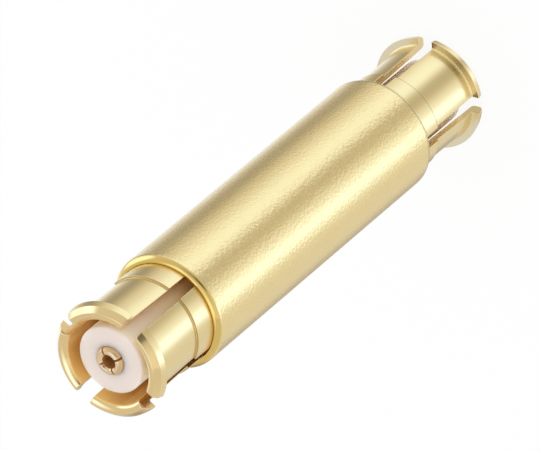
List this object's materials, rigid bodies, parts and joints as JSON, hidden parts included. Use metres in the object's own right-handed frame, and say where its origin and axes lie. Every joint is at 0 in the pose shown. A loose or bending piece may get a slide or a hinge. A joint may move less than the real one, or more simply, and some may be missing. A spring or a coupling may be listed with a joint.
{
  "type": "rf board-to-board adapter",
  "caption": "Straight gold-plated coaxial push-on adapter with flared slotted spring fingers, a recessed white insulator and a slotted centre socket at each end.",
  "frame": {"origin": "on the axis, in the plane of the lower mouth, on which the adapter stands", "axes": "+Z along the axis from the lower mouth to the upper one; +X through one slot of the upper end"},
  "size_m": [0.0032, 0.0032, 0.016],
  "materials": {
    "satin_gold": "satin, fine matte grain",
    "bright_gold": "smooth gold plating",
    "white_ptfe": "matte white",
    "contact_gold": "smooth gold plating"
  },
  "bodies": {
    "root": {"outer_sleeve": "satin_gold", "upper_spring_basket": "bright_gold", "lower_spring_basket": "bright_gold", "upper_insulator": "white_ptfe", "lower_insulator": "white_ptfe", "centre_contact": "contact_gold"}
  },
  "joints": []
}
